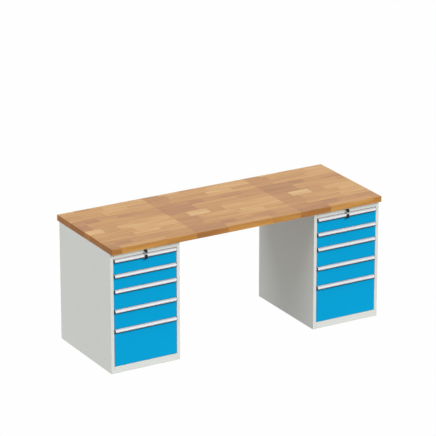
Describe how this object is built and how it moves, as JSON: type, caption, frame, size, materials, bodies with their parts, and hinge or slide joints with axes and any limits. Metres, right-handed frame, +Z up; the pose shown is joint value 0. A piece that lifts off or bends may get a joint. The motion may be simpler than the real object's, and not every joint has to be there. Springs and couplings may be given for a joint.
{
  "type": "workbench with drawers",
  "caption": "Workbench with a thick glued beech worktop on two sheet-steel drawer pedestals with full-width grip strips and central locks, open between them for the knees.",
  "frame": {"origin": "on the floor, under the middle of the worktop", "axes": "+X to the right along the worktop, +Y to the back, +Z up; the drawers open towards -Y"},
  "size_m": [2, 0.75, 0.85],
  "materials": {
    "beech": "glued beech lamellae, sanded and oiled",
    "grey_paint": "light grey powder coat, fine texture, semi-matt",
    "blue_paint": "bright blue powder coat, semi-gloss",
    "aluminium": "extruded, satin anodised",
    "zinc": "zinc plated, rolled",
    "nickel": "nickel plated, satin",
    "black_plastic": "moulded, fine texture"
  },
  "bodies": {
    "bench": {"worktop": "beech", "worktop_screws": "zinc", "left_side_panels": "grey_paint", "left_back_panel": "grey_paint", "left_base_pan": "grey_paint", "left_top_pan": "grey_paint", "left_cabinet_rails": "zinc", "left_lock_housing": "nickel", "right_side_panels": "grey_paint", "right_back_panel": "grey_paint", "right_base_pan": "grey_paint", "right_top_pan": "grey_paint", "right_cabinet_rails": "zinc", "right_lock_housing": "nickel"},
    "left_key": {"left_key_spindle": "nickel"},
    "left_fob": {"left_key_fob": "black_plastic"},
    "left_lock_bar_body": {"left_lock_bar": "zinc"},
    "left_drawer_1": {"left_drawer_1_tray": "grey_paint", "left_drawer_1_front": "blue_paint", "left_drawer_1_handle": "aluminium"},
    "left_drawer_1_rails_body": {"left_drawer_1_middle_rails": "zinc"},
    "left_drawer_2": {"left_drawer_2_tray": "grey_paint", "left_drawer_2_front": "blue_paint", "left_drawer_2_handle": "aluminium"},
    "left_drawer_2_rails_body": {"left_drawer_2_middle_rails": "zinc"},
    "left_drawer_3": {"left_drawer_3_tray": "grey_paint", "left_drawer_3_front": "blue_paint", "left_drawer_3_handle": "aluminium"},
    "left_drawer_3_rails_body": {"left_drawer_3_middle_rails": "zinc"},
    "left_drawer_4": {"left_drawer_4_tray": "grey_paint", "left_drawer_4_front": "blue_paint", "left_drawer_4_handle": "aluminium"},
    "left_drawer_4_rails_body": {"left_drawer_4_middle_rails": "zinc"},
    "left_drawer_5": {"left_drawer_5_tray": "grey_paint", "left_drawer_5_front": "blue_paint", "left_drawer_5_handle": "aluminium"},
    "left_drawer_5_rails_body": {"left_drawer_5_middle_rails": "zinc"},
    "right_key": {"right_key_spindle": "nickel"},
    "right_fob": {"right_key_fob": "black_plastic"},
    "right_lock_bar_body": {"right_lock_bar": "zinc"},
    "right_drawer_1": {"right_drawer_1_tray": "grey_paint", "right_drawer_1_front": "blue_paint", "right_drawer_1_handle": "aluminium"},
    "right_drawer_1_rails_body": {"right_drawer_1_middle_rails": "zinc"},
    "right_drawer_2": {"right_drawer_2_tray": "grey_paint", "right_drawer_2_front": "blue_paint", "right_drawer_2_handle": "aluminium"},
    "right_drawer_2_rails_body": {"right_drawer_2_middle_rails": "zinc"},
    "right_drawer_3": {"right_drawer_3_tray": "grey_paint", "right_drawer_3_front": "blue_paint", "right_drawer_3_handle": "aluminium"},
    "right_drawer_3_rails_body": {"right_drawer_3_middle_rails": "zinc"},
    "right_drawer_4": {"right_drawer_4_tray": "grey_paint", "right_drawer_4_front": "blue_paint", "right_drawer_4_handle": "aluminium"},
    "right_drawer_4_rails_body": {"right_drawer_4_middle_rails": "zinc"},
    "right_drawer_5": {"right_drawer_5_tray": "grey_paint", "right_drawer_5_front": "blue_paint", "right_drawer_5_handle": "aluminium"},
    "right_drawer_5_rails_body": {"right_drawer_5_middle_rails": "zinc"}
  },
  "joints": [
    {"name": "left_key_turn", "type": "hinge", "parent": "bench", "child": "left_key", "pos_m": [-0.749, -0.35, 0.7915], "axis": [0, 1, 0], "range_deg": [0, 90]},
    {"name": "left_bar_lift", "type": "slide", "parent": "bench", "child": "left_lock_bar_body", "axis": [0, 0, 1], "range_m": [0, 0.01414]},
    {"name": "left_fob_swing", "type": "hinge", "parent": "left_key", "child": "left_fob", "pos_m": [-0.749, -0.363, 0.7835], "axis": [0, 1, 0], "range_deg": [-91, 0]},
    {"name": "left_drawer_1_slide", "type": "slide", "parent": "bench", "child": "left_drawer_1", "axis": [0, -1, 0], "range_m": [0, 0.6]},
    {"name": "left_drawer_1_rails_slide", "type": "slide", "parent": "bench", "child": "left_drawer_1_rails_body", "axis": [0, -1, 0], "range_m": [0, 0.3]},
    {"name": "left_drawer_2_slide", "type": "slide", "parent": "bench", "child": "left_drawer_2", "axis": [0, -1, 0], "range_m": [0, 0.6]},
    {"name": "left_drawer_2_rails_slide", "type": "slide", "parent": "bench", "child": "left_drawer_2_rails_body", "axis": [0, -1, 0], "range_m": [0, 0.3]},
    {"name": "left_drawer_3_slide", "type": "slide", "parent": "bench", "child": "left_drawer_3", "axis": [0, -1, 0], "range_m": [0, 0.6]},
    {"name": "left_drawer_3_rails_slide", "type": "slide", "parent": "bench", "child": "left_drawer_3_rails_body", "axis": [0, -1, 0], "range_m": [0, 0.3]},
    {"name": "left_drawer_4_slide", "type": "slide", "parent": "bench", "child": "left_drawer_4", "axis": [0, -1, 0], "range_m": [0, 0.6]},
    {"name": "left_drawer_4_rails_slide", "type": "slide", "parent": "bench", "child": "left_drawer_4_rails_body", "axis": [0, -1, 0], "range_m": [0, 0.3]},
    {"name": "left_drawer_5_slide", "type": "slide", "parent": "bench", "child": "left_drawer_5", "axis": [0, -1, 0], "range_m": [0, 0.6]},
    {"name": "left_drawer_5_rails_slide", "type": "slide", "parent": "bench", "child": "left_drawer_5_rails_body", "axis": [0, -1, 0], "range_m": [0, 0.3]},
    {"name": "right_key_turn", "type": "hinge", "parent": "bench", "child": "right_key", "pos_m": [0.749, -0.35, 0.7915], "axis": [0, 1, 0], "range_deg": [0, 90]},
    {"name": "right_bar_lift", "type": "slide", "parent": "bench", "child": "right_lock_bar_body", "axis": [0, 0, 1], "range_m": [0, 0.01414]},
    {"name": "right_fob_swing", "type": "hinge", "parent": "right_key", "child": "right_fob", "pos_m": [0.749, -0.363, 0.7835], "axis": [0, 1, 0], "range_deg": [-91, 0]},
    {"name": "right_drawer_1_slide", "type": "slide", "parent": "bench", "child": "right_drawer_1", "axis": [0, -1, 0], "range_m": [0, 0.6]},
    {"name": "right_drawer_1_rails_slide", "type": "slide", "parent": "bench", "child": "right_drawer_1_rails_body", "axis": [0, -1, 0], "range_m": [0, 0.3]},
    {"name": "right_drawer_2_slide", "type": "slide", "parent": "bench", "child": "right_drawer_2", "axis": [0, -1, 0], "range_m": [0, 0.6]},
    {"name": "right_drawer_2_rails_slide", "type": "slide", "parent": "bench", "child": "right_drawer_2_rails_body", "axis": [0, -1, 0], "range_m": [0, 0.3]},
    {"name": "right_drawer_3_slide", "type": "slide", "parent": "bench", "child": "right_drawer_3", "axis": [0, -1, 0], "range_m": [0, 0.6]},
    {"name": "right_drawer_3_rails_slide", "type": "slide", "parent": "bench", "child": "right_drawer_3_rails_body", "axis": [0, -1, 0], "range_m": [0, 0.3]},
    {"name": "right_drawer_4_slide", "type": "slide", "parent": "bench", "child": "right_drawer_4", "axis": [0, -1, 0], "range_m": [0, 0.6]},
    {"name": "right_drawer_4_rails_slide", "type": "slide", "parent": "bench", "child": "right_drawer_4_rails_body", "axis": [0, -1, 0], "range_m": [0, 0.3]},
    {"name": "right_drawer_5_slide", "type": "slide", "parent": "bench", "child": "right_drawer_5", "axis": [0, -1, 0], "range_m": [0, 0.6]},
    {"name": "right_drawer_5_rails_slide", "type": "slide", "parent": "bench", "child": "right_drawer_5_rails_body", "axis": [0, -1, 0], "range_m": [0, 0.3]}
  ],
  "couplings": [
    {"joint": "left_key_turn", "follows": "left_bar_lift", "rad_per_m": 111.07},
    {"joint": "left_fob_swing", "follows": "left_bar_lift", "rad_per_m": -111.07},
    {"joint": "left_drawer_1_rails_slide", "follows": "left_drawer_1_slide", "ratio": 0.5},
    {"joint": "left_drawer_2_rails_slide", "follows": "left_drawer_2_slide", "ratio": 0.5},
    {"joint": "left_drawer_3_rails_slide", "follows": "left_drawer_3_slide", "ratio": 0.5},
    {"joint": "left_drawer_4_rails_slide", "follows": "left_drawer_4_slide", "ratio": 0.5},
    {"joint": "left_drawer_5_rails_slide", "follows": "left_drawer_5_slide", "ratio": 0.5},
    {"joint": "right_key_turn", "follows": "right_bar_lift", "rad_per_m": 111.07},
    {"joint": "right_fob_swing", "follows": "right_bar_lift", "rad_per_m": -111.07},
    {"joint": "right_drawer_1_rails_slide", "follows": "right_drawer_1_slide", "ratio": 0.5},
    {"joint": "right_drawer_2_rails_slide", "follows": "right_drawer_2_slide", "ratio": 0.5},
    {"joint": "right_drawer_3_rails_slide", "follows": "right_drawer_3_slide", "ratio": 0.5},
    {"joint": "right_drawer_4_rails_slide", "follows": "right_drawer_4_slide", "ratio": 0.5},
    {"joint": "right_drawer_5_rails_slide", "follows": "right_drawer_5_slide", "ratio": 0.5}
  ]
}
